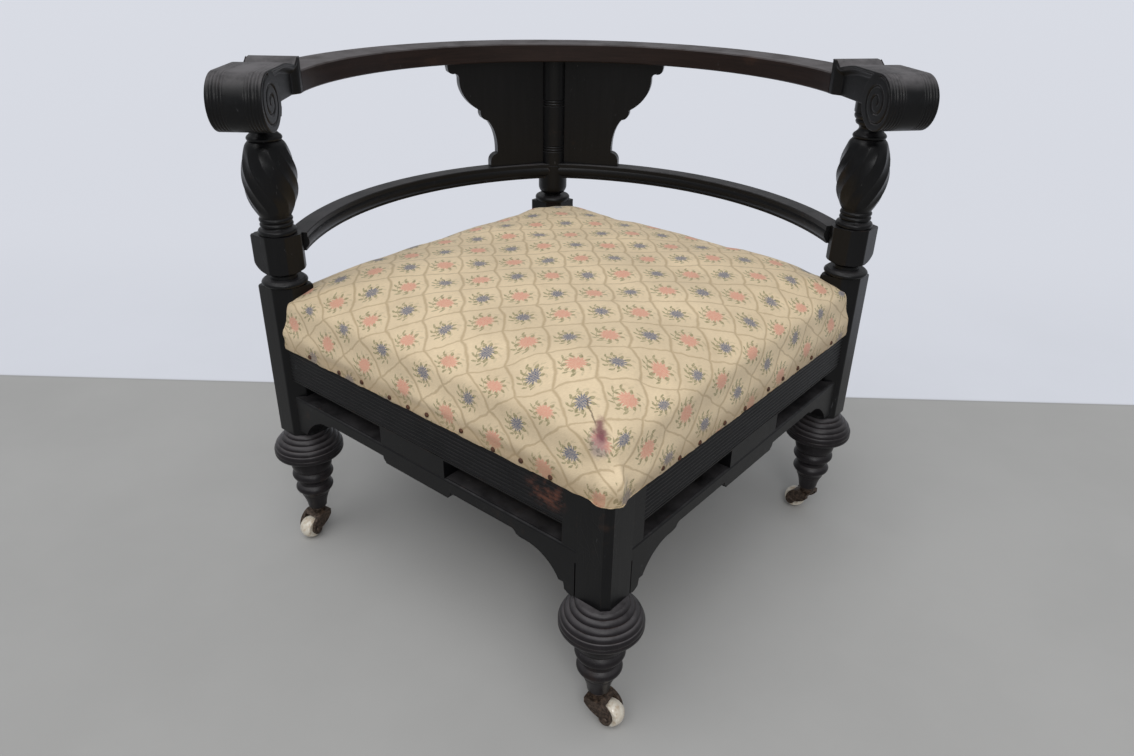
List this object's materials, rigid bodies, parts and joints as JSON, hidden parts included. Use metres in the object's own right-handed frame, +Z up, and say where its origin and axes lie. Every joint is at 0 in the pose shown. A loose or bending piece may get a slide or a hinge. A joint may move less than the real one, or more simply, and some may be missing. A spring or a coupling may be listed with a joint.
{
  "type": "corner chair",
  "caption": "Ebonised corner chair with a curved top rail, scrolled arms, a shaped splat, a brocade seat and small porcelain casters.",
  "frame": {"origin": "on the floor under the middle of the square seat, all four casters standing on Z = 0", "axes": "+Z up, -Y to the front corner of the seat, +X to the chair's left-hand arm as seen from the front"},
  "size_m": [0.8114, 0.8114, 0.6416],
  "materials": {
    "ebonised_wood": "satin",
    "worn_rail_wood": "satin",
    "brocade": "matte",
    "webbing": "matte",
    "caster_iron": "matte",
    "porcelain": "gloss"
  },
  "bodies": {
    "frame": {"side_post_left": "ebonised_wood", "side_post_right": "ebonised_wood", "back_post": "ebonised_wood", "front_post": "ebonised_wood", "seat_rail_front_right": "ebonised_wood", "seat_rail_front_left": "ebonised_wood", "seat_rail_back_right": "ebonised_wood", "seat_rail_back_left": "ebonised_wood", "apron_right": "ebonised_wood", "apron_left": "ebonised_wood", "apron_centre_block_right": "ebonised_wood", "apron_centre_block_left": "ebonised_wood", "apron_end_stile_right": "ebonised_wood", "apron_end_stile_left": "ebonised_wood", "bracket_front_right": "ebonised_wood", "bracket_front_left": "ebonised_wood", "bracket_side_right": "ebonised_wood", "bracket_side_left": "ebonised_wood", "arm_scroll_right": "ebonised_wood", "arm_scroll_left": "ebonised_wood", "top_rail_right": "worn_rail_wood", "top_rail_left": "worn_rail_wood", "lower_rail_right": "ebonised_wood", "lower_rail_left": "ebonised_wood", "splat_right": "ebonised_wood", "splat_left": "ebonised_wood", "corner_blocks": "ebonised_wood", "webbing_lower": "webbing", "webbing_upper": "webbing", "base_cloth": "webbing", "seat_stuffing": "webbing", "seat_cover": "brocade", "foot_front": "ebonised_wood", "caster_neck_front": "caster_iron", "foot_left": "ebonised_wood", "caster_neck_left": "caster_iron", "foot_right": "ebonised_wood", "caster_neck_right": "caster_iron", "foot_back": "ebonised_wood", "caster_neck_back": "caster_iron"},
    "caster_front": {"caster_fork_front": "caster_iron", "caster_axle_front": "caster_iron"},
    "wheel_front": {"caster_wheel_front": "porcelain"},
    "caster_left": {"caster_fork_left": "caster_iron", "caster_axle_left": "caster_iron"},
    "wheel_left": {"caster_wheel_left": "porcelain"},
    "caster_right": {"caster_fork_right": "caster_iron", "caster_axle_right": "caster_iron"},
    "wheel_right": {"caster_wheel_right": "porcelain"},
    "caster_back": {"caster_fork_back": "caster_iron", "caster_axle_back": "caster_iron"},
    "wheel_back": {"caster_wheel_back": "porcelain"}
  },
  "joints": [
    {"name": "swivel_front", "type": "hinge", "parent": "frame", "child": "caster_front", "pos_m": [0, -0.36, 0.04], "axis": [0, 0, 1], "continuous": true},
    {"name": "roll_front", "type": "hinge", "parent": "caster_front", "child": "wheel_front", "pos_m": [0.01359, -0.37021, 0.0155], "axis": [0.6004, 0.7997, 0], "continuous": true},
    {"name": "swivel_left", "type": "hinge", "parent": "frame", "child": "caster_left", "pos_m": [-0.36, 0, 0.04], "axis": [0, 0, 1], "continuous": true},
    {"name": "roll_left", "type": "hinge", "parent": "caster_left", "child": "wheel_left", "pos_m": [-0.37021, -0.01359, 0.0155], "axis": [0.7997, -0.6004, 0], "continuous": true},
    {"name": "swivel_right", "type": "hinge", "parent": "frame", "child": "caster_right", "pos_m": [0.36, 0, 0.04], "axis": [0, 0, 1], "continuous": true},
    {"name": "roll_right", "type": "hinge", "parent": "caster_right", "child": "wheel_right", "pos_m": [0.34979, 0.01359, 0.0155], "axis": [-0.7997, -0.6004, 0], "continuous": true},
    {"name": "swivel_back", "type": "hinge", "parent": "frame", "child": "caster_back", "pos_m": [0, 0.36, 0.04], "axis": [0, 0, 1], "continuous": true},
    {"name": "roll_back", "type": "hinge", "parent": "caster_back", "child": "wheel_back", "pos_m": [-0.00469, 0.37634, 0.0155], "axis": [-0.9613, -0.2756, 0], "continuous": true}
  ]
}
